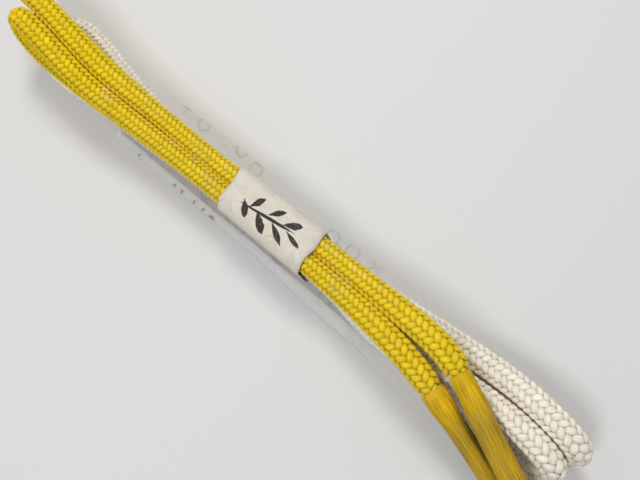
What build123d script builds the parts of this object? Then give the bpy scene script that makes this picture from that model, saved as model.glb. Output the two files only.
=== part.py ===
from build123d import *
import os
from math import radians, tan

os.makedirs("parts", exist_ok=True)

# A dress cord for a kimono sash, folded for sale: a round braid in six runs, three
# layers of two, with a tassel at each end, a paper band round the middle and a
# sleeve of clear film. X runs along the bundle, towards the tassels, Z is up, and
# the origin is under the middle of the paper band, on the surface it lies on.

# ---- Driving dimensions (mm) ----
cord_d = 9.0                # round braid as it lies packed, a little squeezed
braid_wall = 1.9            # two crossing yarns lie in this thickness
core_gap = 0.1              # slack between the filler yarns and the braid
run_pitch = 9.3             # from one run's centre to the next run's centre
slide_gap = 0.3             # slack round whatever slides

film_wall = 0.2             # clear sleeve
paper_wall = 0.25           # paper band
wrap_wall = 0.15            # film rolled round a tassel

fold_r = 7.5                # half the height of an upright fold

band_length = 40.0
sleeve_start = -84.0
sleeve_end = 146.0

# ---- Heights of the three layers, from the surface up ----
cord_r = cord_d / 2
low = film_wall + slide_gap + paper_wall + slide_gap + cord_r
mid = low + run_pitch
top = mid + run_pitch
half = run_pitch / 2

# ---- Tassels: where each starts and ends, and their sizes ----
left_neck = Vector(81.5, -10.4, top - 3.3)
left_tip = Vector(137.0, -28.1, 5.2)
right_neck = Vector(85.5, -0.2, top + 2.1)
right_tip = Vector(139.0, -23.1, 12.0)
binding_length = 2.4
binding_r = 3.9
head_r = 4.5
skirt_r = 3.45
head_end = 12.0             # where the domed head has drawn in to the skirt
wrap_start = 13.5           # the rolled film starts just past the head
wrap_overhang = 2.0         # and ends past the threads


def upright_fold(x, y, z_low, way, drift):
    """Three corners of an upright U-turn: way is +1 towards the tassels, -1 away."""
    far = fold_r * 1.155 * way
    near = fold_r * 0.577 * way
    return [
        (x + near, y, z_low + 2 * fold_r),
        (x + far, y + drift / 2, z_low + fold_r),
        (x + near, y + drift, z_low),
    ]


# ---- The cord's route, from the left tassel's neck to the right one's ----
top_left = [
    left_neck,
    (72.6, -7.6, top - 0.9),
    (58, -5.5, top),
    (36, -half, top),
    (-66, -half, top),
    (-94, -5.9, top + 0.5),
    (-113, -3.7, top + 3.0),
    (-125, -2.2, top + 5.3),
]
far_fold_left = upright_fold(-131, -1.4, mid, -1, -4.0)
under_left = [
    (-119, -7.6, mid),
    (-97, -7.2, mid),
    (-68, -half, mid),
    (34, -half, mid),
    (53, -6.1, mid),
    (70, -3.4, mid),
    (87, -1.6, mid),
    (102, -1.0, mid + 0.5),
    (113, -1.2, mid + 4.4),
]
near_fold_left = upright_fold(122, -1.5, low, 1, -0.6)
bottom_left = [
    (109, -2.0, low),
    (86, -3.6, low),
    (61, -5.8, low),
    (36, -half, low),
    (-70, -half, low),
    (-97, -5.4, low),
    (-115, -6.9, low),
]
mid_loop = [
    (-129.9, -6.1, low),
    (-135.5, -0.5, low),
    (-135.5, 7.3, low),
    (-129.9, 12.9, low),
]
bottom_right = [
    (-116, 12.4, low),
    (-98, 8.4, low),
    (-72, half, low),
    (34, half, low),
    (59, 5.4, low),
    (84, 8.8, low),
    (106, 8.6, low),
]
near_fold_right = upright_fold(119.5, 8.3, low, 1, 0.2)[::-1]
under_right = [
    (110.5, 9.6, mid + 4.6),
    (99, 10.2, mid + 0.9),
    (78, 8.0, mid),
    (56, 5.0, mid),
    (34, half, mid),
    (-69, half, mid),
    (-99, 5.4, mid),
    (-127, 8.4, mid),
]
far_fold_right = upright_fold(-140.5, 9.4, mid, -1, 0.3)[::-1]
top_right = [
    (-134, 9.2, top + 5.4),
    (-118, 7.6, top + 3.0),
    (-93, 3.9, top + 0.5),
    (-66, half, top),
    (36, half, top),
    (60, 3.9, top + 0.6),
    (77, 3.0, top + 3.6),
    right_neck,
]

route = [
    Vector(point)
    for stretch in (top_left, far_fold_left, under_left, near_fold_left, bottom_left,
                    mid_loop, bottom_right, near_fold_right, under_right,
                    far_fold_right, top_right)
    for point in stretch
]


def corner_radius(before, corner, after):
    """The largest arc that the two runs at a corner leave room for."""
    run_in = corner - before
    run_out = after - corner
    half_turn = radians(run_in.get_angle(run_out)) / 2
    return 0.45 * min(run_in.length, run_out.length) / tan(half_turn)


radii = [corner_radius(*route[i - 1:i + 2]) for i in range(1, len(route) - 1)]
print("corner radii:", [round(radius, 1) for radius in radii])

# The dye changes half way along the two runs that lie in the middle layer, under
# the paper band.
last_yellow_left = len(top_left) + len(far_fold_left) + 2
first_yellow_right = len(route) - len(top_right) - len(far_fold_right) - 3


def on_run(index, x):
    """The point at x on the straight run that starts at a numbered route point."""
    start = route[index]
    run = route[index + 1] - start
    return start + run * ((x - start.X) / run.X)


change_left = on_run(last_yellow_left, 0.0)
change_right = on_run(first_yellow_right - 1, 0.0)

dye_zones = {
    "braid_yellow_left": (route[:last_yellow_left + 1] + [change_left],
                          radii[:last_yellow_left]),
    "braid_white": ([change_left] + route[last_yellow_left + 1:first_yellow_right]
                    + [change_right],
                    radii[last_yellow_left:first_yellow_right - 1]),
    "braid_yellow_right": ([change_right] + route[first_yellow_right:],
                           radii[first_yellow_right - 1:]),
}


def finish(builder, name):
    """Label a finished piece and write it."""
    builder.part.label = name
    export_step(builder.part, f"parts/{name}.step")


# ---- Braid: one tube for each dyed stretch ----
core_r = cord_r - braid_wall - core_gap
for name, (points, corner_radii) in dye_zones.items():
    with BuildPart() as braid:
        with BuildLine() as centre_line:
            FilletPolyline(*points, radius=corner_radii)
        path = centre_line.wires()[0]
        with BuildSketch(Plane(origin=path @ 0, z_dir=path % 0)) as section:
            Circle(cord_r)
            Circle(cord_r - braid_wall, mode=Mode.SUBTRACT)
        sweep(path=path)
    print(f"{name}: length {path.length:.1f}, volume / (section x length) = "
          f"{braid.part.volume / (section.sketch.area * path.length):.5f}")
    finish(braid, name)

# ---- Filler yarns: one bundle through the whole cord ----
with BuildPart() as core:
    with BuildLine() as core_line:
        FilletPolyline(*route, radius=radii)
    core_path = core_line.wires()[0]
    with BuildSketch(Plane(origin=core_path @ 0, z_dir=core_path % 0)) as core_section:
        Circle(core_r)
    sweep(path=core_path)
print(f"core_yarn: length {core_path.length:.1f}, volume / (section x length) = "
      f"{core.part.volume / (core_section.sketch.area * core_path.length):.5f}")
finish(core, "core_yarn")

# ---- Tassels: binding, threads and rolled film, each turned about the tassel's line ----
for side, neck, tip in (("left", left_neck, left_tip), ("right", right_neck, right_tip)):
    length = (tip - neck).length
    # The cord ends in the binding, so the tassel's line starts at the neck.
    across = Plane(origin=neck, z_dir=tip - neck)
    along = Plane(origin=neck, x_dir=across.x_dir, z_dir=-across.y_dir)
    tassel_axis = Axis(origin=neck, direction=tip - neck)

    with BuildPart() as binding:
        with BuildSketch(across):
            Circle(binding_r)
        extrude(amount=binding_length)
        fillet(binding.edges().filter_by(GeomType.CIRCLE), radius=0.5)
    finish(binding, f"neck_binding_{side}")

    with BuildPart() as threads:
        with BuildSketch(along):
            with BuildLine():
                Polyline((0, binding_length), (binding_r - 0.9, binding_length))
                Spline(
                    (binding_r - 0.9, binding_length),
                    (head_r, binding_length + 3.2),
                    (head_r - 0.4, head_end - 3.0),
                    (skirt_r, head_end + 1.0),
                    tangents=((1, 0.9), (0, 1)),
                )
                Polyline(
                    (skirt_r, head_end + 1.0), (skirt_r, length), (0, length),
                    (0, binding_length),
                )
            make_face()
        revolve(axis=tassel_axis)
    finish(threads, f"tassel_{side}")

    with BuildPart() as wrap:
        with BuildSketch(across.offset(wrap_start)):
            Circle(skirt_r + 0.1 + wrap_wall)
            Circle(skirt_r + 0.1, mode=Mode.SUBTRACT)
        extrude(amount=length + wrap_overhang - wrap_start)
    finish(wrap, f"tassel_wrap_{side}")

# ---- Paper band: a strip round the six runs, rounded where it turns over the cords ----
band_inner_width = run_pitch + cord_d + 2 * slide_gap
band_inner_height = 2 * run_pitch + cord_d + 2 * slide_gap
band_centre = Plane(origin=(-band_length / 2, 0, mid), x_dir=(0, 1, 0), z_dir=(1, 0, 0))
with BuildPart() as band:
    with BuildSketch(band_centre):
        RectangleRounded(
            band_inner_width + 2 * paper_wall, band_inner_height + 2 * paper_wall,
            cord_r + paper_wall,
        )
        RectangleRounded(band_inner_width, band_inner_height, cord_r, mode=Mode.SUBTRACT)
    extrude(amount=band_length)
finish(band, "paper_band")

# ---- Film sleeve: close round the bundle at the far end, wider over the tassels ----
sleeve_height = 35.4
narrow_outline = [
    (-14.6, 0), (18.4, 0), (18.3, 10), (15.2, 22), (15.0, 30.8), (10.6, sleeve_height),
    (-3.0, sleeve_height), (-8.0, 32.0), (-13.8, 19), (-14.4, 9),
]
wide_outline = [
    (-35.0, 0), (18.4, 0), (18.3, 10), (15.2, 22), (15.0, 30.8), (10.6, sleeve_height),
    (-3.0, sleeve_height), (-12.0, 32.0), (-29.0, 19), (-34.6, 9),
]
flare_start = 40.0
flare_end = 92.0


def sleeve_section(x, outline, inset):
    """The sleeve's outline across the bundle at x, drawn in by inset."""
    with BuildSketch(Plane(origin=(x, 0, 0), x_dir=(0, 1, 0), z_dir=(1, 0, 0))) as section:
        with BuildLine():
            Polyline(*outline, close=True)
        make_face()
        if inset:
            offset(amount=-inset, kind=Kind.INTERSECTION, mode=Mode.REPLACE)
    return section.sketch


with BuildPart() as sleeve:
    for inset, mode in ((0, Mode.ADD), (film_wall, Mode.SUBTRACT)):
        far_end = sleeve_section(sleeve_start, narrow_outline, inset)
        flare_far = sleeve_section(flare_start, narrow_outline, inset)
        flare_near = sleeve_section(flare_end, wide_outline, inset)
        extrude(far_end, amount=flare_start - sleeve_start, mode=mode)
        loft([flare_far, flare_near], ruled=True, mode=mode)
        extrude(flare_near, amount=sleeve_end - flare_end, mode=mode)
finish(sleeve, "film_sleeve")
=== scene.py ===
import math

import bmesh
import bpy
import numpy as np
from mathutils import Matrix, Vector


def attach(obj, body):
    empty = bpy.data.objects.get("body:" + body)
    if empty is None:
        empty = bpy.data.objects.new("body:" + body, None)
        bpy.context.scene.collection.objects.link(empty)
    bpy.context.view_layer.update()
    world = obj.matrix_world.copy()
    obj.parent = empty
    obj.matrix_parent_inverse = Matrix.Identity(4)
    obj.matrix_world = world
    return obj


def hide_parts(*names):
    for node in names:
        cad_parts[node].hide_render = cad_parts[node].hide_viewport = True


# A dress cord for a kimono sash, folded for sale. X runs along the bundle towards
# the tassels, Z is up, and the origin is under the middle of the paper band.

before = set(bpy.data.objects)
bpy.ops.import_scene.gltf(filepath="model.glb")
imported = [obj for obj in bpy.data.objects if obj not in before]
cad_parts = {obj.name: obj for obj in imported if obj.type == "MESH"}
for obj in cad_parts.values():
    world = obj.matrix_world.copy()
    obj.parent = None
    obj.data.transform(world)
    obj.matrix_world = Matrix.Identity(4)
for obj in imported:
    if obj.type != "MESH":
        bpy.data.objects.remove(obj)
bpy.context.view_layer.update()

# ---- Camera: nearly overhead, turned so that the bundle crosses the view ----
camera_place = Vector((0.0722, -0.0118, 0.2391))
camera_target = Vector((0.0195, 0.0053, 0.0250))
camera_turn = math.radians(38.8)
view_angle = math.radians(54.0)

camera_data = bpy.data.cameras.new("camera")
camera_data.angle = view_angle
camera_data.clip_start = 0.01
camera = bpy.data.objects.new("camera", camera_data)
bpy.context.scene.collection.objects.link(camera)
bpy.context.scene.camera = camera
forward = (camera_target - camera_place).normalized()
bundle_in_view = (Vector((1, 0, 0)) - forward * forward.x).normalized()
across_in_view = forward.cross(bundle_in_view)
to_right = math.cos(camera_turn) * bundle_in_view - math.sin(camera_turn) * across_in_view
upwards = -(math.sin(camera_turn) * bundle_in_view + math.cos(camera_turn) * across_in_view)
camera.matrix_world = Matrix.LocRotScale(
    camera_place, Matrix((to_right, upwards, -forward)).transposed(), None
)

# ---- Cord: where it lies ----
# One round braided cord, folded in six runs in three layers of two. The paper band
# squeezes it, so it is thinner and its layers are closer there than at the ends.
low, mid, top = 0.0054, 0.0150, 0.0246
low_band, mid_band, top_band = 0.0045, 0.0127, 0.0209
side_band = 0.0037
fold_half_height = 0.0075


def upright_fold(x, y, z_low, way, drift):
    """Three points of an upright turn: way is +1 towards the tassels, -1 away."""
    far = fold_half_height * 1.155 * way
    near = fold_half_height * 0.577 * way
    return [
        (x + near, y, z_low + 2 * fold_half_height),
        (x + far, y + drift / 2, z_low + fold_half_height),
        (x + near, y + drift, z_low),
    ]


left_neck = (0.0806, -0.0099, top - 0.0031)
right_neck = (0.0838, -0.0001, top + 0.0023)

top_left = [
    left_neck,
    (0.0726, -0.0077, top - 0.0009),
    (0.0580, -0.0054, top - 0.0008),
    (0.0360, -0.0040, top_band),
    (0.0140, -side_band, top_band),
    (-0.0380, -side_band, top_band),
    (-0.0660, -0.0041, top_band + 0.0005),
    (-0.0940, -0.0052, top),
    (-0.1130, -0.0027, top + 0.0030),
    (-0.1250, -0.0012, top + 0.0053),
]
far_fold_left = upright_fold(-0.1295, -0.0006, mid, -1, -0.0044)
under_left = [
    (-0.1190, -0.0058, mid),
    (-0.0970, -0.0057, mid),
    (-0.0680, -0.0044, mid_band + 0.0006),
    (-0.0390, -side_band, mid_band),
    (0.0150, -side_band, mid_band),
    (0.0340, -0.0042, mid_band),
    (0.0530, -0.0061, mid),
    (0.0700, -0.0034, mid),
    (0.0870, -0.0016, mid),
    (0.1020, -0.0008, mid + 0.0005),
    (0.1110, -0.0012, mid + 0.0040),
]
near_fold_left = upright_fold(0.1190, -0.0031, low, 1, -0.0054)
bottom_left = [
    (0.1070, -0.0084, low),
    (0.0860, -0.0056, low),
    (0.0640, -0.0064, low),
    (0.0480, -0.0070, low),
    (0.0330, -0.0041, low_band),
    (0.0110, -side_band, low_band),
    (-0.0430, -side_band, low_band),
    (-0.0700, -0.0047, low_band),
    (-0.0970, -0.0054, low),
    (-0.1150, -0.0069, low),
]
mid_loop = [
    (-0.1299, -0.0061, low),
    (-0.1355, -0.0005, low),
    (-0.1355, 0.0073, low),
    (-0.1299, 0.0137, low),
]
bottom_right = [
    (-0.1160, 0.0131, low),
    (-0.0980, 0.0091, low),
    (-0.0720, 0.0052, low_band),
    (-0.0460, side_band, low_band),
    (0.0090, side_band, low_band),
    (0.0340, 0.0045, low_band),
    (0.0590, 0.0054, low),
    (0.0840, 0.0080, low),
    (0.1060, 0.0048, low),
]
near_fold_right = upright_fold(0.1215, 0.0064, low, 1, -0.0044)[::-1]
under_right = [
    (0.1125, 0.0083, mid + 0.0046),
    (0.0990, 0.0094, mid + 0.0009),
    (0.0780, 0.0077, mid),
    (0.0560, 0.0050, mid),
    (0.0340, 0.0044, mid_band),
    (0.0120, side_band, mid_band),
    (-0.0390, side_band, mid_band),
    (-0.0690, 0.0047, mid_band + 0.0006),
    (-0.0990, 0.0054, mid),
    (-0.1270, 0.0084, mid),
]
far_fold_right = upright_fold(-0.1405, 0.0094, mid, -1, 0.0003)[::-1]
top_right = [
    (-0.1340, 0.0090, top + 0.0054),
    (-0.1180, 0.0074, top + 0.0030),
    (-0.0930, 0.0037, top),
    (-0.0660, 0.0041, top_band + 0.0005),
    (-0.0390, side_band, top_band),
    (0.0120, side_band, top_band),
    (0.0360, 0.0040, top_band + 0.0002),
    (0.0600, 0.0036, top + 0.0004),
    (0.0770, 0.0028, top + 0.0032),
    right_neck,
]
route = (
    top_left + far_fold_left + under_left + near_fold_left + bottom_left + mid_loop
    + bottom_right + near_fold_right + under_right + far_fold_right + top_right
)

route_curve = bpy.data.curves.new("cord_line", "CURVE")
route_curve.dimensions = "3D"
route_curve.resolution_u = 24
spline = route_curve.splines.new("NURBS")
spline.points.add(len(route) - 1)
for point, place in zip(spline.points, route):
    point.co = (*place, 1)
spline.order_u = 3
spline.use_endpoint_u = True
spline.resolution_u = 24
route_object = bpy.data.objects.new("cord_line", route_curve)
route_mesh = bpy.data.meshes.new_from_object(route_object)
route_points = np.array([vertex.co for vertex in route_mesh.vertices])
bpy.data.objects.remove(route_object)

# Places at even steps along that line, each with its direction, a normal that turns
# as little as it can, and the cord's radius there.
line_step = 0.0006


def direction_of(points):
    """Unit directions along a line of points."""
    ahead = np.gradient(points, axis=0)
    return ahead / np.linalg.norm(ahead, axis=1)[:, None]


def even_steps(points, step):
    """The same line at even steps along its length."""
    gaps = np.linalg.norm(np.diff(points, axis=0), axis=1)
    distance = np.concatenate(([0], np.cumsum(gaps)))
    wanted = np.linspace(0, distance[-1], round(distance[-1] / step) + 1)
    return np.column_stack([np.interp(wanted, distance, points[:, axis]) for axis in range(3)])


def smooth_step(value, start, end):
    """0 before start, 1 after end, and a smooth rise between."""
    share = np.clip((value - start) / (end - start), 0, 1)
    return share * share * (3 - 2 * share)


line = even_steps(route_points, line_step)
line_ahead = direction_of(line)
line_normal = np.zeros_like(line)
line_normal[0] = np.cross(line_ahead[0], (0, 1, 0))
for i in range(1, len(line)):
    carried = line_normal[i - 1] - line_ahead[i] * np.dot(line_normal[i - 1], line_ahead[i])
    line_normal[i] = carried / np.linalg.norm(carried)
line_side = np.cross(line_ahead, line_normal)

squeezed_radius = 0.00422
free_radius = 0.0050
freed = np.maximum(smooth_step(line[:, 0], 0.022, 0.066), smooth_step(-line[:, 0], 0.048, 0.116))
freed -= 0.35 * smooth_step(-line[:, 0], 0.122, 0.142)
line_radius = squeezed_radius + (free_radius - squeezed_radius) * freed
from_neck = np.minimum(np.arange(len(line)), np.arange(len(line))[::-1]) * line_step
line_radius *= 0.70 + 0.30 * smooth_step(from_neck, -0.001, 0.0035)

# The dye changes under the band, on the two runs of the middle layer: they are the
# second and the fifth of the cord's six passes through the middle of the bundle.
passes = np.flatnonzero(np.diff(np.sign(line[:, 0])))
dye_change_left, dye_change_right = passes[1], passes[4]
half_way = len(line) // 2

# ---- Cord: braid ----
# Sixteen strands of soft floss silk, eight each way round, laid two over and two
# under. Each strand rises over two others as a plump float, about as long as half
# the cord's width, and dives under the next two. The middle was left undyed.
strands_each_way = 8
lay_per_radius = 4.05
strand_width = 0.49         # shares of the cord's radius
strand_thickness = 0.27
strand_rise = 0.190
section_sides = 8
edge_shade = 0.32           # painted shade: how much deeper, and so darker, a strand's edges are coloured than its middle
turned = np.concatenate(
    ([0], np.cumsum(2 * math.pi * line_step / (lay_per_radius * line_radius[1:])))
)


def linear(hex_colour):
    """An sRGB hex colour as the linear RGBA that a shader takes."""
    shares = [int(hex_colour[i:i + 2], 16) / 255 for i in (1, 3, 5)]
    return (*(s / 12.92 if s <= 0.04045 else ((s + 0.055) / 1.055) ** 2.4 for s in shares), 1)


def add_node(tree, kind, inputs=(), **settings):
    """A node with its settings. Each input is given a value or linked to a socket."""
    node = tree.nodes.new("ShaderNode" + kind)
    for name, value in settings.items():
        setattr(node, name, value)
    for name, value in dict(inputs).items():
        if isinstance(value, bpy.types.NodeSocket):
            tree.links.new(value, node.inputs[name])
        else:
            node.inputs[name].default_value = value
    return node


def new_material(name):
    """An empty material, its node tree and its Principled node."""
    material = bpy.data.materials.new(name)
    material.use_nodes = True
    return material, material.node_tree, material.node_tree.nodes["Principled BSDF"]


def shown(name, mesh, *materials):
    """An object at the origin for a finished mesh."""
    for material in materials:
        mesh.materials.append(material)
    piece = bpy.data.objects.new(name, mesh)
    bpy.context.scene.collection.objects.link(piece)
    return piece


def braided_silk(name, crown, flank_shade, recess_shade):
    """Floss silk, untwisted: a soft sheen and fine fibres that run along each strand."""
    material, tree, surface = new_material(name)
    height = add_node(tree, "Attribute", attribute_name="height")
    strand_uv = add_node(tree, "UVMap", uv_map="strand")
    fibre_place = add_node(tree, "Mapping", {"Vector": strand_uv.outputs["UV"],
                                             "Scale": (160, 16, 1)})
    fibres = add_node(tree, "TexNoise", {"Vector": fibre_place.outputs["Vector"], "Scale": 1.0,
                                         "Detail": 3.0, "Roughness": 0.6})
    patch_place = add_node(tree, "Mapping", {"Vector": strand_uv.outputs["UV"],
                                             "Scale": (160, 0.2, 1)})
    patches = add_node(tree, "TexNoise", {"Vector": patch_place.outputs["Vector"], "Scale": 1.0,
                                          "Detail": 1.0})
    # Painted shade: the colour darkens from the crown colour on top of a float to the flank and
    # then the recess colour where a strand dives low and at its edges.
    depth = add_node(tree, "ValToRGB", {"Fac": height.outputs["Fac"]})
    depth.color_ramp.elements[0].position = 0.22
    depth.color_ramp.elements[0].color = linear(recess_shade)
    depth.color_ramp.elements[1].position = 0.90
    depth.color_ramp.elements[1].color = linear(crown)
    between = depth.color_ramp.elements.new(0.60)
    between.color = linear(flank_shade)
    uneven = add_node(tree, "MapRange", {"Value": patches.outputs["Fac"], "From Min": 0.3,
                                         "From Max": 0.7, "To Min": 0.88, "To Max": 1.07})
    fibre_tone = add_node(tree, "MapRange", {"Value": fibres.outputs["Fac"], "From Min": 0.3,
                                             "From Max": 0.7, "To Min": 0.80, "To Max": 1.10})
    tone = add_node(tree, "Math", {0: uneven.outputs["Result"], 1: fibre_tone.outputs["Result"]},
                    operation="MULTIPLY")
    colour = add_node(tree, "VectorMath", {0: depth.outputs["Color"], "Scale": tone.outputs[0]},
                      operation="SCALE")
    relief = add_node(tree, "Bump", {"Height": fibres.outputs["Fac"], "Distance": 0.00008,
                                     "Strength": 0.8})
    tree.links.new(colour.outputs["Vector"], surface.inputs["Base Color"])
    tree.links.new(relief.outputs["Normal"], surface.inputs["Normal"])
    surface.inputs["Roughness"].default_value = 0.58
    surface.inputs["Specular IOR Level"].default_value = 0.16
    surface.inputs["Sheen Weight"].default_value = 0.05
    surface.inputs["Sheen Roughness"].default_value = 0.4
    return material


def strand_rings(first, last, way, k):
    """One strand between two places on the line: its rings of points, and how high it rides."""
    places = slice(first, last + 1)
    angle = 2 * math.pi * k / strands_each_way + way * turned[places]
    crossings = turned[places] * strands_each_way / math.pi
    float_middle = 0.5 - 2 * k if way == 1 else 2 * k - 2.5
    wave = np.cos((crossings - float_middle) * math.pi / 2)
    ride = 0.6 * wave + 0.4 * np.sin(wave * math.pi / 2)
    radius = line_radius[places]
    outwards = (np.cos(angle)[:, None] * line_normal[places]
                + np.sin(angle)[:, None] * line_side[places])
    from_line = radius * (1 - strand_thickness / 2 - strand_rise * (1 - ride))
    middle = line[places] + outwards * from_line[:, None]
    ahead = direction_of(middle)
    across = np.cross(ahead, outwards)
    across /= np.linalg.norm(across, axis=1)[:, None]
    up = np.cross(across, ahead)
    outer = np.gradient(line[places] + outwards * radius[:, None] * 0.8, axis=0)
    opened = np.clip(np.einsum("ij,ij->i", outer, line_ahead[places]) / line_step, 0.4, 1.7)
    half_width = radius * strand_width / 2 * (0.84 + 0.16 * wave) * opened ** 0.6
    half_thickness = radius * strand_thickness / 2 * (0.92 + 0.08 * wave)
    corners = np.linspace(0, 2 * math.pi, section_sides, endpoint=False)
    rings = (middle[:, None]
             + across[:, None] * (half_width[:, None] * np.cos(corners))[..., None]
             + up[:, None] * (half_thickness[:, None] * np.sin(corners))[..., None])
    return rings, ride / 2 + 0.5


def ring_faces(rings, sides):
    """The faces that join a row of rings, as corner numbers."""
    start = np.arange(rings - 1)[:, None] * sides
    side = np.arange(sides)
    after = (side + 1) % sides
    corners = np.stack([start + side, start + after, start + sides + after,
                        start + sides + side], axis=-1)
    return corners.reshape(-1, 4)


def braid(name, first, last, material):
    """All the strands between two places on the cord's line, as one mesh."""
    rings = last + 1 - first
    faces = ring_faces(rings, section_sides)
    edge_on = np.abs(np.cos(np.linspace(0, 2 * math.pi, section_sides, endpoint=False))) ** 3
    points, corners, heights, lengthwise = [], [], [], []
    for way in (1, -1):
        for k in range(strands_each_way):
            strand, height = strand_rings(first, last, way, k)
            corners.append(faces + len(points) * rings * section_sides)
            points.append(strand.reshape(-1, 3))
            # The height attribute, lowered at the strand's edges, drives the painted shade in the
            # silk's colour.
            heights.append((height[:, None] - edge_shade * edge_on).ravel())
            lengthwise.append(np.repeat(np.arange(rings) * line_step + 2.7 * k + 31 * (way > 0),
                                        section_sides))
    corners = np.concatenate(corners)
    mesh = bpy.data.meshes.new(name)
    mesh.from_pydata(np.concatenate(points).tolist(), [], corners.tolist())
    mesh.shade_smooth()
    mesh.attributes.new("height", "FLOAT", "POINT").data.foreach_set(
        "value", np.concatenate(heights).astype(np.float32))
    round_strand = (corners % section_sides) / section_sides
    round_strand[:, 1:3][round_strand[:, 1:3] == 0] = 1.0
    uv = np.stack([np.concatenate(lengthwise)[corners], round_strand], axis=-1)
    mesh.uv_layers.new(name="strand").data.foreach_set("uv", uv.astype(np.float32).ravel())
    return shown(name, mesh, material)


# Each silk's colours: on the tops of the floats, then painted shade for their flanks and for the
# dips between strands.
yellow_silk = braided_silk("dyed_floss_silk", "#eed212", "#cda900", "#6e4400")
white_silk = braided_silk("undyed_floss_silk", "#faf4e6", "#e6ddc9", "#8f8468")
for name, node, slot, material, first, last, length in (
    ("yellow_cord_left", "braid_yellow_left", "silk_yellow", yellow_silk,
     0, dye_change_left, 0.366),
    ("white_cord_left", "braid_white", "silk_white", white_silk,
     dye_change_left, half_way, 0.417),
    ("white_cord_right", "braid_white", "silk_white", white_silk,
     half_way, dye_change_right, 0.393),
    ("yellow_cord_right", "braid_yellow_right", "silk_yellow", yellow_silk,
     dye_change_right, len(line) - 1, 0.389),
):
    piece = braid(name, first, last, material)
    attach(piece, "cord")
    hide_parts(node)

# ---- Cord: filler ----
# Soft yarns lie side by side inside the braid and keep it round. Where the cord is
# dyed they take up a little of the dye. Their colours are also kept dark as painted
# shade, so that they show only as dark specks between the strands.
filler_share = 0.56         # of the cord's radius
filler_sides = 12
filler_steps = slice(3, -3, 2)

filler_cotton, tree, surface = new_material("filler_cotton_yarn")
dyed = add_node(tree, "Attribute", attribute_name="dyed")
# Painted shade: both yarn colours are darker than the yarn itself, for the shade between the
# strands; the dyed one also carries the cord's yellow.
yarn_colour_and_shade = add_node(tree, "Mix", {"Factor": dyed.outputs["Fac"], "A": linear("#8d8264"),
                                     "B": linear("#5c4200")}, data_type="RGBA")
filler_noise = add_node(tree, "TexNoise", {"Scale": 900.0, "Detail": 2.0})
filler_relief = add_node(tree, "Bump", {"Height": filler_noise.outputs["Fac"],
                                        "Distance": 0.0002})
tree.links.new(yarn_colour_and_shade.outputs["Result"], surface.inputs["Base Color"])
tree.links.new(filler_relief.outputs["Normal"], surface.inputs["Normal"])
surface.inputs["Roughness"].default_value = 0.9

round_filler = np.linspace(0, 2 * math.pi, filler_sides, endpoint=False)
filler_radius = (line_radius[filler_steps] * filler_share)[:, None, None]
filler_rings = line[filler_steps][:, None] + filler_radius * (
    np.cos(round_filler)[:, None] * line_normal[filler_steps][:, None]
    + np.sin(round_filler)[:, None] * line_side[filler_steps][:, None])
filler_mesh = bpy.data.meshes.new("filler_yarns")
filler_mesh.from_pydata(filler_rings.reshape(-1, 3).tolist(), [],
                        ring_faces(len(filler_rings), filler_sides).tolist())
filler_mesh.shade_smooth()
place_on_line = np.arange(len(line))[filler_steps]
is_dyed = (place_on_line < dye_change_left) | (place_on_line > dye_change_right)
filler_mesh.attributes.new("dyed", "FLOAT", "POINT").data.foreach_set(
    "value", np.repeat(is_dyed, filler_sides).astype(np.float32))
filler = shown("filler_yarns", filler_mesh, filler_cotton)
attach(filler, "cord")
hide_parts("core_yarn")

# ---- Tassels ----
# The silk is folded over each end of the cord and bound, so that it makes a domed
# head, and it is packed straight and tight below that. The threads lie lengthwise.
left_tip = (0.1370, -0.0277, 0.0050)
right_tip = (0.1386, -0.0248, 0.0131)
thread_count = 64
thread_relief = 0.00013
around_thread = 3           # corners of a ring for each thread
tassel_start = -0.0004      # from the neck
crown_length = 0.0024       # the threads turn over the cord's end here
head_from, head_to = 0.0055, 0.0150

tassel_silk, tree, surface = new_material("tassel_floss_silk")
lengthwise = add_node(tree, "Attribute", attribute_name="thread")
thread_place = add_node(tree, "Mapping", {"Vector": lengthwise.outputs["Vector"],
                                          "Scale": (70, 5.0, 1)})
thread_noise = add_node(tree, "TexNoise", {"Vector": thread_place.outputs["Vector"],
                                           "Scale": 1.0, "Detail": 4.0, "Roughness": 0.65})
thread_ramp = add_node(tree, "ValToRGB", {"Fac": thread_noise.outputs["Fac"]})
thread_ramp.color_ramp.elements[0].position = 0.34
thread_ramp.color_ramp.elements[0].color = linear("#8c6600")
thread_ramp.color_ramp.elements[1].position = 0.68
thread_ramp.color_ramp.elements[1].color = linear("#f4cc00")
thread_bump = add_node(tree, "Bump", {"Height": thread_noise.outputs["Fac"],
                                      "Distance": 0.00030, "Strength": 1.0})
thread_parts = add_node(tree, "SeparateXYZ", {"Vector": lengthwise.outputs["Vector"]})
# Painted highlight: the threads are coloured brighter on the domed head and a little darker on the
# skirt.
painted_head_highlight = add_node(tree, "MapRange", {"Value": thread_parts.outputs["X"], "From Min": 0.006,
                                         "From Max": 0.018, "To Min": 1.28, "To Max": 0.94})
thread_tone = add_node(tree, "VectorMath", {0: thread_ramp.outputs["Color"],
                                            "Scale": painted_head_highlight.outputs["Result"]},
                       operation="SCALE")
tree.links.new(thread_tone.outputs["Vector"], surface.inputs["Base Color"])
tree.links.new(thread_bump.outputs["Normal"], surface.inputs["Normal"])
surface.inputs["Roughness"].default_value = 0.40
surface.inputs["Specular IOR Level"].default_value = 0.25
surface.inputs["Anisotropic"].default_value = 0.5

binding_silk, tree, surface = new_material("twisted_binding_silk")
twist_wave = add_node(tree, "TexWave", {"Scale": 900.0, "Distortion": 1.5},
                      bands_direction="DIAGONAL")
twist_bump = add_node(tree, "Bump", {"Height": twist_wave.outputs["Fac"], "Distance": 0.0001})
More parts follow.
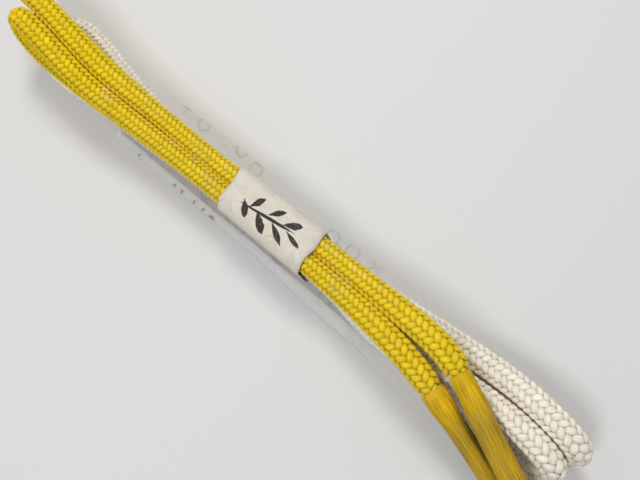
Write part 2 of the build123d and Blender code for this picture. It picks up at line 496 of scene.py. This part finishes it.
# Painted shade: the thread is coloured darker in the grooves of its twist and lighter on its
# ridges.
twist_shade = add_node(tree, "Mix", {"Factor": twist_wave.outputs["Fac"], "A": linear("#c39d04"),
                                    "B": linear("#ecca1c")}, data_type="RGBA")
tree.links.new(twist_shade.outputs["Result"], surface.inputs["Base Color"])
tree.links.new(twist_bump.outputs["Normal"], surface.inputs["Normal"])
surface.inputs["Roughness"].default_value = 0.5


def axis_frame(neck, tip):
    """A matrix whose Z runs from the neck to the tip, and the distance between them."""
    along = Vector(tip) - Vector(neck)
    turn = along.to_track_quat("Z", "Y").to_matrix().to_4x4()
    return Matrix.Translation(neck) @ turn, along.length


def smooth_mesh(name, shape, place):
    """A finished mesh from a bmesh that was made about the Z axis."""
    bmesh.ops.remove_doubles(shape, verts=shape.verts, dist=1e-7)
    bmesh.ops.recalc_face_normals(shape, faces=shape.faces)
    shape.transform(place)
    mesh = bpy.data.meshes.new(name)
    shape.to_mesh(mesh)
    shape.free()
    mesh.shade_smooth()
    return mesh


def tassel(name, place, length, head_radius, skirt_radius, seed):
    """Head and skirt as a turned shape with a ridge for each thread, and cut ends."""
    draw = np.random.default_rng(seed)
    thread_length = draw.uniform(-0.0012, 0.0006, thread_count)
    wander = draw.uniform(0, 2 * math.pi, 3)
    shape = bmesh.new()
    thread_layer = shape.verts.layers.float_vector.new("thread")
    stations = np.concatenate([np.linspace(tassel_start, head_to, 26),
                               np.linspace(head_to, length, 22)[1:]])
    sides = thread_count * around_thread
    row = [shape.verts.new((0.001, 0, station)) for station in stations]
    edges = [shape.edges.new(pair) for pair in zip(row, row[1:])]
    bmesh.ops.spin(shape, geom=row + edges, cent=(0, 0, 0), axis=(0, 0, 1),
                   angle=2 * math.pi, steps=sides, use_merge=True)
    for vertex in shape.verts:
        station = vertex.co.z
        angle = math.atan2(vertex.co.y, vertex.co.x) % (2 * math.pi)
        thread = angle / (2 * math.pi) * thread_count
        crown = float(smooth_step(station, tassel_start - 0.001, tassel_start + crown_length))
        drawn_in = float(smooth_step(station, head_from, head_to))
        radius = 0.0024 + (head_radius - 0.0024) * math.sqrt(crown)
        radius += (skirt_radius - head_radius) * drawn_in
        radius += 0.00012 * math.sin(3 * angle + wander[0] + station * 60) * drawn_in
        radius += 0.00008 * math.sin(7 * angle + wander[1] + station * 110)
        radius += thread_relief * (abs(math.cos(math.pi * thread)) * 2 - 1)
        turn = 0.05 * math.sin(station * 300 + wander[2]) * drawn_in
        end = float(smooth_step(station, length - 0.004, length))
        along = station + thread_length[int(thread) % thread_count] * end
        vertex.co = (radius * math.cos(angle + turn), radius * math.sin(angle + turn), along)
        vertex[thread_layer] = (station, min(angle, 2 * math.pi - angle) * 3, 0)
    for i in range(70):
        ring_radius = (skirt_radius - 0.0004) * math.sqrt((i + 0.5) / 70)
        angle = i * 2.39996
        reach = length - 0.0022 + draw.uniform(-0.001, 0.0012)
        thread_end = bmesh.ops.create_cone(
            shape, cap_ends=True, segments=6, radius1=0.00042, radius2=0.00030, depth=0.006,
            matrix=Matrix.Translation((ring_radius * math.cos(angle),
                                       ring_radius * math.sin(angle), reach)))
        for vertex in thread_end["verts"]:
            vertex[thread_layer] = (vertex.co.z, i * 0.7, 0)
    return smooth_mesh(name, shape, place)


def neck_binding(name, place):
    """Turns of a twisted thread, side by side round the cord's end."""
    turns, thread_radius, ring_radius = 4, 0.00030, 0.0027
    shape = bmesh.new()
    for turn in range(turns):
        lie = Matrix.Translation((ring_radius, 0, -0.0010 + turn * thread_radius * 1.8))
        circle = bmesh.ops.create_circle(shape, segments=8, radius=thread_radius,
                                         matrix=lie @ Matrix.Rotation(math.pi / 2, 4, "X"))
        circle_edges = list({edge for vertex in circle["verts"] for edge in vertex.link_edges})
        bmesh.ops.spin(shape, geom=circle["verts"] + circle_edges, cent=(0, 0, 0),
                       axis=(0, 0, 1), angle=2 * math.pi, steps=56, use_merge=True)
    return smooth_mesh(name, shape, place)


# Each tassel: neck, tip, the radii of its head and skirt, and a seed for its threads.
tassel_sizes = {"left": (left_neck, left_tip, 0.0043, 0.0035, 5),
                "right": (right_neck, right_tip, 0.0037, 0.0041, 8)}
for side, (neck, tip, head_radius, skirt_radius, seed) in tassel_sizes.items():
    place, length = axis_frame(neck, tip)
    threads = shown(f"tassel_threads_{side}",
                    tassel("threads", place, length, head_radius, skirt_radius, seed),
                    tassel_silk)
    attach(threads, "cord")
    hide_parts(f"tassel_{side}")
    binding = shown(f"binding_turns_{side}", neck_binding("binding", place), binding_silk)
    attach(binding, "cord")
    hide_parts(f"neck_binding_{side}")

# ---- Film round the tassels ----
# A strip of clear film is rolled once and a bit more round each tassel, to keep the
# threads straight. It clings, so it has long creases that catch the light.
wrap_start = 0.0125
wrap_overhang = 0.0020
wrap_turns = 1.2
wrap_sides = 72


def clear_film(name, shine_square_on):
    """Thin polypropylene film: nearly all light passes, and it shines at a slant.
    The attributes say how cloudy it is and where rings are printed on it in grey."""
    material, tree, surface = new_material(name)
    surface.inputs["Roughness"].default_value = 0.25
    surface.inputs["IOR"].default_value = 1.49
    glint = add_node(tree, "BsdfGlossy", {"Roughness": 0.06})
    through = add_node(tree, "BsdfTransparent")
    slant = add_node(tree, "LayerWeight", {"Blend": 0.5})
    steep = add_node(tree, "Math", {0: slant.outputs["Facing"], 1: 5.0}, operation="POWER")
    shine = add_node(tree, "Math", {0: steep.outputs[0], 1: 0.10, 2: shine_square_on},
                     operation="MULTIPLY_ADD")
    mirror = add_node(tree, "MixShader", {0: shine.outputs[0], 1: through.outputs["BSDF"],
                                          2: glint.outputs["BSDF"]})
    creases = add_node(tree, "TexNoise", {"Scale": 160.0, "Detail": 2.0, "Distortion": 0.4})
    crease_bump = add_node(tree, "Bump", {"Height": creases.outputs["Fac"], "Distance": 0.0004,
                                          "Strength": 0.4})
    for shader in (surface, glint, slant):
        tree.links.new(crease_bump.outputs["Normal"], shader.inputs["Normal"])
    around = add_node(tree, "Attribute", attribute_name="around")
    cells = add_node(tree, "TexVoronoi", {"Vector": around.outputs["Vector"], "Scale": 95.0,
                                          "Randomness": 0.9}, voronoi_dimensions="2D")
    ring = add_node(tree, "MapRange", {"Value": cells.outputs["Distance"], "From Min": 0.19,
                                       "From Max": 0.24})
    hole = add_node(tree, "MapRange", {"Value": cells.outputs["Distance"], "From Min": 0.33,
                                       "From Max": 0.28})
    ring_here = add_node(tree, "SeparateColor", {"Color": cells.outputs["Color"]})
    some = add_node(tree, "Math", {0: ring_here.outputs["Red"], 1: 0.45},
                    operation="GREATER_THAN")
    parts = add_node(tree, "SeparateXYZ", {"Vector": around.outputs["Vector"]})
    outline = add_node(tree, "Math", {0: ring.outputs["Result"], 1: hole.outputs["Result"]},
                       operation="MULTIPLY")
    shown_rings = add_node(tree, "Math", {0: outline.outputs[0], 1: some.outputs[0]},
                           operation="MULTIPLY")
    print_end = add_node(tree, "MapRange", {"Value": parts.outputs["X"], "From Min": 0.046,
                                            "From Max": 0.034})
    facing = add_node(tree, "NewGeometry")
    facing_parts = add_node(tree, "SeparateXYZ", {"Vector": facing.outputs["True Normal"]})
    steepness = add_node(tree, "Math", {0: facing_parts.outputs["Z"]}, operation="ABSOLUTE")
    level = add_node(tree, "MapRange", {"Value": steepness.outputs[0], "From Min": 0.80,
                                        "From Max": 0.92})
    kept_rings = add_node(tree, "Math", {0: shown_rings.outputs[0], 1: level.outputs["Result"]},
                          operation="MULTIPLY")
    printed = add_node(tree, "Math", {0: kept_rings.outputs[0], 1: print_end.outputs["Result"]},
                       operation="MULTIPLY")
    solid = add_node(tree, "Math", {0: printed.outputs[0], 1: 0.16, 2: parts.outputs["Z"]},
                     operation="MULTIPLY_ADD")
    film_tone = add_node(tree, "Mix", {"Factor": printed.outputs[0], "A": linear("#fbfbfa"),
                                       "B": linear("#8f8f86")}, data_type="RGBA")
    tree.links.new(film_tone.outputs["Result"], surface.inputs["Base Color"])
    film = add_node(tree, "MixShader", {0: solid.outputs[0], 1: mirror.outputs["Shader"],
                                        2: surface.outputs["BSDF"]})
    tree.links.new(film.outputs["Shader"], tree.nodes["Material Output"].inputs["Surface"])
    return material


wrap_film = clear_film("clear_polypropylene_film", 0.020)


def rolled_film(name, place, length, skirt_radius, seed):
    """The rolled strip, with creases that run along the tassel."""
    draw = np.random.default_rng(seed)
    phase = draw.uniform(0, 2 * math.pi, 6)
    shape = bmesh.new()
    stations = np.linspace(wrap_start, length + wrap_overhang, 60)
    row = [shape.verts.new((1, 0, station)) for station in stations]
    edges = [shape.edges.new(pair) for pair in zip(row, row[1:])]
    bmesh.ops.spin(shape, geom=row + edges, cent=(0, 0, 0), axis=(0, 0, 1),
                   angle=2 * math.pi * 0.999, steps=wrap_sides)
    for vertex in shape.verts:
        angle = math.atan2(vertex.co.y, vertex.co.x) % (2 * math.pi)
        station = vertex.co.z
        crease = (math.sin(3 * angle + phase[0] + 90 * station)
                  + 0.7 * math.sin(5 * angle + phase[1] - 140 * station)
                  + 0.5 * math.sin(9 * angle + phase[2] + 220 * station)
                  + 0.3 * math.sin(14 * angle + phase[3] + 60 * station))
        radius = skirt_radius + 0.00045 + 0.00016 * crease
        radius += 0.0004 * float(smooth_step(station, length - 0.004, length + 0.002))
        spread = angle * wrap_turns + phase[4]
        radius += 0.00012 * angle / (2 * math.pi)
        vertex.co = (radius * math.cos(spread), radius * math.sin(spread), station)
    return smooth_mesh(name, shape, place)


for side, (neck, tip, head_radius, skirt_radius, seed) in tassel_sizes.items():
    place, length = axis_frame(neck, tip)
    wrap = shown(f"tassel_film_{side}",
                 rolled_film("film", place, length, skirt_radius, seed), wrap_film)
    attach(wrap, "cord")
    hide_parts(f"tassel_wrap_{side}")

# ---- Paper band ----
# A strip of soft off-white paper goes round all six runs and is glued where its ends
# lap, underneath. It presses the cords together, so it shows them as low swells. A
# sprig of bamboo is brushed on it in ink.
band_half_length = 0.0200
band_half_width = 0.0086
band_bottom, band_top = 0.0003, 0.0256
band_corner = 0.0040
band_paper_thickness = 0.00022
band_lap = 0.0060

band_paper, tree, surface = new_material("soft_paper")
object_place = add_node(tree, "TexCoord")
pulp = add_node(tree, "TexNoise", {"Vector": object_place.outputs["Object"], "Scale": 420.0,
                                   "Detail": 6.0, "Roughness": 0.7})
fibre_stretch = add_node(tree, "Mapping", {"Vector": object_place.outputs["Object"],
                                           "Rotation": (0, 0, 0.6), "Scale": (260, 1500, 900)})
long_fibres = add_node(tree, "TexNoise", {"Vector": fibre_stretch.outputs["Vector"],
                                          "Scale": 1.0, "Detail": 3.0})
paper_tone = add_node(tree, "ValToRGB", {"Fac": pulp.outputs["Fac"]})
paper_tone.color_ramp.elements[0].position = 0.3
paper_tone.color_ramp.elements[0].color = linear("#cdc6b6")
paper_tone.color_ramp.elements[1].position = 0.7
paper_tone.color_ramp.elements[1].color = linear("#dcd6c8")
paper_bump = add_node(tree, "Bump", {"Height": long_fibres.outputs["Fac"],
                                     "Distance": 0.00004, "Strength": 0.5})
edge_noise = add_node(tree, "TexNoise", {"Vector": object_place.outputs["Object"],
                                         "Scale": 700.0, "Detail": 3.0})
rough_edge = add_node(tree, "MapRange", {"Value": edge_noise.outputs["Fac"], "From Min": 0.3,
                                         "From Max": 0.7, "To Min": -0.16, "To Max": 0.16})


def brush_stroke(tree, centre, angle, half_length, half_width, belly):
    """A mask for one brush stroke on the top of the band: 1 inside its leaf-like outline."""
    local = add_node(tree, "Mapping", {"Vector": object_place.outputs["Object"],
                                       "Location": (*centre, 0), "Rotation": (0, 0, angle),
                                       "Scale": (half_length, half_width, 1)},
                     vector_type="TEXTURE")
    parts = add_node(tree, "SeparateXYZ", {"Vector": local.outputs["Vector"]})
    bowed = add_node(tree, "Math", {0: parts.outputs["X"], 1: parts.outputs["X"], 2: 0.0},
                     operation="MULTIPLY_ADD")
    across = add_node(tree, "Math", {0: parts.outputs["Y"]}, operation="ABSOLUTE")
    slope = add_node(tree, "MapRange", {"Value": parts.outputs["X"], "From Min": -1.0,
                                        "From Max": 1.0, "To Min": 1.0 - belly,
                                        "To Max": 1.0 + belly})
    width = add_node(tree, "Math", {0: across.outputs[0], 1: slope.outputs["Result"]},
                     operation="DIVIDE")
    reach = add_node(tree, "Math", {0: bowed.outputs[0], 1: width.outputs[0]}, operation="ADD")
    ragged = add_node(tree, "Math", {0: reach.outputs[0], 1: rough_edge.outputs["Result"]},
                      operation="ADD")
    mask = add_node(tree, "MapRange", {"Value": ragged.outputs[0], "From Min": 1.04,
                                       "From Max": 0.96})
    return mask.outputs["Result"]


# Each stroke: middle (m), angle (degrees), half length and half width (m), and how
# much thicker it is towards its far end.
strokes = [
    ((-0.0010, -0.0004), 8, 0.0125, 0.00062, 0.2),
    ((-0.0070, 0.0016), 62, 0.0034, 0.00115, 0.5),
    ((-0.0095, -0.0028), -48, 0.0038, 0.00125, 0.5),
    ((-0.0018, -0.0034), -38, 0.0046, 0.00140, 0.6),
    ((0.0014, 0.0030), 44, 0.0036, 0.00100, 0.5),
    ((0.0056, -0.0028), -30, 0.0048, 0.00105, 0.5),
    ((0.0088, 0.0030), 30, 0.0040, 0.00120, 0.5),
    ((0.0120, -0.0010), -16, 0.0042, 0.00085, 0.4),
]
masks = [brush_stroke(tree, centre, math.radians(angle), half_length, half_width, belly)
         for centre, angle, half_length, half_width, belly in strokes]
ink = masks[0]
for mask in masks[1:]:
    ink = add_node(tree, "Math", {0: ink, 1: mask}, operation="MAXIMUM").outputs[0]
height_parts = add_node(tree, "SeparateXYZ", {"Vector": object_place.outputs["Object"]})
on_top = add_node(tree, "MapRange", {"Value": height_parts.outputs["Z"], "From Min": 0.0200,
                                     "From Max": 0.0210})
ink_on_top = add_node(tree, "Math", {0: ink, 1: on_top.outputs["Result"]},
                      operation="MULTIPLY")
inked = add_node(tree, "Mix", {"Factor": ink_on_top.outputs[0],
                               "A": paper_tone.outputs["Color"], "B": linear("#2b2623")},
                 data_type="RGBA")
tree.links.new(inked.outputs["Result"], surface.inputs["Base Color"])
tree.links.new(paper_bump.outputs["Normal"], surface.inputs["Normal"])
surface.inputs["Roughness"].default_value = 0.8


def band_outline():
    """Once round the bundle, from under it and back to it with a lap: (y, z) in metres."""
    corner_y = band_half_width - band_corner
    arcs = [(corner_y, band_bottom + band_corner, -90), (corner_y, band_top - band_corner, 0),
            (-corner_y, band_top - band_corner, 90), (-corner_y, band_bottom + band_corner, 180)]
    outline = [(-0.001 + band_lap / 3 * i, band_bottom) for i in range(2)]
    for centre_y, centre_z, start in arcs:
        for i in range(9):
            angle = math.radians(start + 90 * i / 8)
            outline.append((centre_y + band_corner * math.cos(angle),
                            centre_z + band_corner * math.sin(angle)))
        if start == -90 or start == 90:
            pass
    outline.append((-0.002, band_bottom - 0.00005))
    outline.append((band_lap - 0.002, band_bottom - 0.0001))
    return outline


shape = bmesh.new()
ring = [shape.verts.new((-band_half_length, y, z)) for y, z in band_outline()]
ring_edges = [shape.edges.new(pair) for pair in zip(ring, ring[1:])]
for step in range(20):
    grown = bmesh.ops.extrude_edge_only(shape, edges=ring_edges)["geom"]
    new_verts = [item for item in grown if isinstance(item, bmesh.types.BMVert)]
    ring_edges = [item for item in grown
                  if isinstance(item, bmesh.types.BMEdge)
                  and all(vertex in new_verts for vertex in item.verts)]
    bmesh.ops.translate(shape, verts=new_verts, vec=(band_half_length / 10, 0, 0))
long_edges = [edge for edge in shape.edges
              if abs(edge.verts[0].co.x - edge.verts[1].co.x) < 1e-6 and edge.calc_length() > 0.003]
bmesh.ops.subdivide_edges(shape, edges=long_edges, cuts=5)
for vertex in shape.verts:
    x, y, z = vertex.co
    high = float(smooth_step(z, 0.018, 0.0235))
    valley = math.exp(-((y / 0.0022) ** 2))
    vertex.co.z -= 0.00055 * valley * high
    side_wave = abs(math.sin(math.pi * (z - band_bottom) / 0.0084))
    vertex.co.y += math.copysign(0.00035 * side_wave, y) * (abs(y) > 0.0075)
    vertex.co.x += -0.16 * y * (0.5 - x / 0.08) + 0.0004 * math.sin(y * 500)
    vertex.co.y += 0.00012 * math.sin(x * 420 + z * 300)
    vertex.co.z += 0.00010 * math.sin(x * 300 + y * 700) * high
band = shown("paper_strip", smooth_mesh("paper_strip", shape, Matrix()), band_paper)
thickness = band.modifiers.new("thickness", "SOLIDIFY")
thickness.thickness = band_paper_thickness
thickness.offset = 1
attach(band, "band")
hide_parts("paper_band")

# ---- Film sleeve ----
# A long bag of clear film, open at both ends, with rings printed on it in pale grey.
# It hangs from the tops of the cords to a flat seam on each side.
sleeve_film = clear_film("printed_polypropylene_film", 0.004)
clear_haze = 0.004
folded_haze = 0.50          # where the bag's spare width lies in layers
# Each station along the sleeve: x, left edge, right edge, left and right shoulders
# over the cords and their height (all in metres).
sleeve_stations = [
    (-0.0840, -0.0130, 0.0165, -0.0100, 0.0088, 0.0300),
    (-0.0700, -0.0134, 0.0160, -0.0098, 0.0096, 0.0284),
    (-0.0500, -0.0138, 0.0164, -0.0100, 0.0098, 0.0276),
    (-0.0320, -0.0140, 0.0166, -0.0100, 0.0098, 0.0272),
    (-0.0200, -0.0140, 0.0158, -0.0100, 0.0098, 0.0272),
    (0.0000, -0.0142, 0.0144, -0.0100, 0.0098, 0.0272),
    (0.0200, -0.0152, 0.0138, -0.0100, 0.0098, 0.0274),
    (0.0400, -0.0160, 0.0142, -0.0100, 0.0096, 0.0286),
    (0.0600, -0.0172, 0.0150, -0.0116, 0.0094, 0.0304),
    (0.0800, -0.0204, 0.0158, -0.0160, 0.0080, 0.0324),
    (0.0950, -0.0244, 0.0160, -0.0200, 0.0064, 0.0300),
    (0.1150, -0.0290, 0.0150, -0.0244, 0.0110, 0.0260),
    (0.1300, -0.0328, 0.0140, -0.0286, 0.0100, 0.0210),
    (0.1460, -0.0345, 0.0130, -0.0300, 0.0060, 0.0160),
]
film_bottom = 0.00015
shape = bmesh.new()
around_layer = shape.verts.layers.float_vector.new("around")
loops = []
for x, left, right, left_shoulder, right_shoulder, height in sleeve_stations:
    middle = (left_shoulder + right_shoulder) / 2
    section = [
        (left, 0.0004), (left + 0.50 * (left_shoulder - left), 0.06 * height),
        (left + 0.90 * (left_shoulder - left), 0.30 * height),
        (left_shoulder, 0.86 * height), (left_shoulder + 0.0028, height),
        (middle, height + 0.0002), (right_shoulder - 0.0028, height),
        (right_shoulder, 0.88 * height),
        (right - 0.75 * (right - right_shoulder), 0.50 * height),
        (right - 0.40 * (right - right_shoulder), 0.12 * height), (right, 0.0002),
        (right * 0.5 + left * 0.1, film_bottom), (right * 0.1 + left * 0.5, film_bottom),
    ]
    verts = []
    for i, (y, z) in enumerate(section):
        vertex = shape.verts.new((x, y, z))
        vertex[around_layer] = (x, y + 0.6 * z * (1 if y > 0 else -1), clear_haze)
        verts.append(vertex)
    loops.append([shape.edges.new(pair) for pair in zip(verts, verts[1:] + verts[:1])])
for loop, after in zip(loops, loops[1:]):
    bmesh.ops.bridge_loops(shape, edges=loop + after)
bmesh.ops.subdivide_edges(shape, edges=shape.edges, cuts=5, use_grid_fill=True, smooth=0.6)
for vertex in shape.verts:
    x, y, z = vertex.co
    loose = float(smooth_step(z, 0.0005, 0.010))
    vertex.co.z += loose * (0.00022 * math.sin(x * 260 + y * 240)
                            + 0.00012 * math.sin(x * 520 - y * 900))
    vertex.co.y += loose * 0.00018 * math.sin(x * 190 + z * 420)
    vertex.co.z = max(vertex.co.z, film_bottom)
    layered = (float(smooth_step(-y, 0.0088, 0.0108)) * float(smooth_step(z, 0.0002, 0.0004))
               * float(smooth_step(-z, -0.0120, -0.0040))
               * float(smooth_step(-x, -0.062, -0.038)))
    vertex[around_layer].z = clear_haze + folded_haze * layered
sleeve = shown("printed_film_sleeve", smooth_mesh("sleeve", shape, Matrix()), sleeve_film)
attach(sleeve, "sleeve")
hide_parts("film_sleeve")

# ---- Table and light ----
# A plain pale table, a large soft light from beyond the white side of the bundle,
# and an even light from the room.
table_paper, tree, surface = new_material("matt_table_paper")
surface.inputs["Base Color"].default_value = linear("#d9d9d8")
surface.inputs["Roughness"].default_value = 0.8
shape = bmesh.new()
bmesh.ops.create_grid(shape, x_segments=1, y_segments=1, size=3)
table = shown("table", smooth_mesh("table", shape, Matrix()), table_paper)


def soft_light(name, place, size, power, colour):
    """A square soft light that points at the bundle."""
    light = bpy.data.lights.new(name, "AREA")
    light.size = size
    light.energy = power
    light.color = linear(colour)[:3]
    lamp = bpy.data.objects.new(name, light)
    lamp.location = place
    lamp.rotation_euler = (-Vector(place)).to_track_quat("-Z", "Y").to_euler()
    bpy.context.scene.collection.objects.link(lamp)


soft_light("key_light", (-0.25, 0.38, 0.70), 0.24, 2.9, "#fffdf8")
soft_light("second_light", (0.02, -0.34, 0.72), 0.24, 2.1, "#fbfbff")
world = bpy.data.worlds.new("room")
bpy.context.scene.world = world
world.use_nodes = True
world.node_tree.nodes["Background"].inputs["Color"].default_value = linear("#fafafc")
world.node_tree.nodes["Background"].inputs["Strength"].default_value = 0.43
bpy.context.scene.view_settings.view_transform = "Standard"
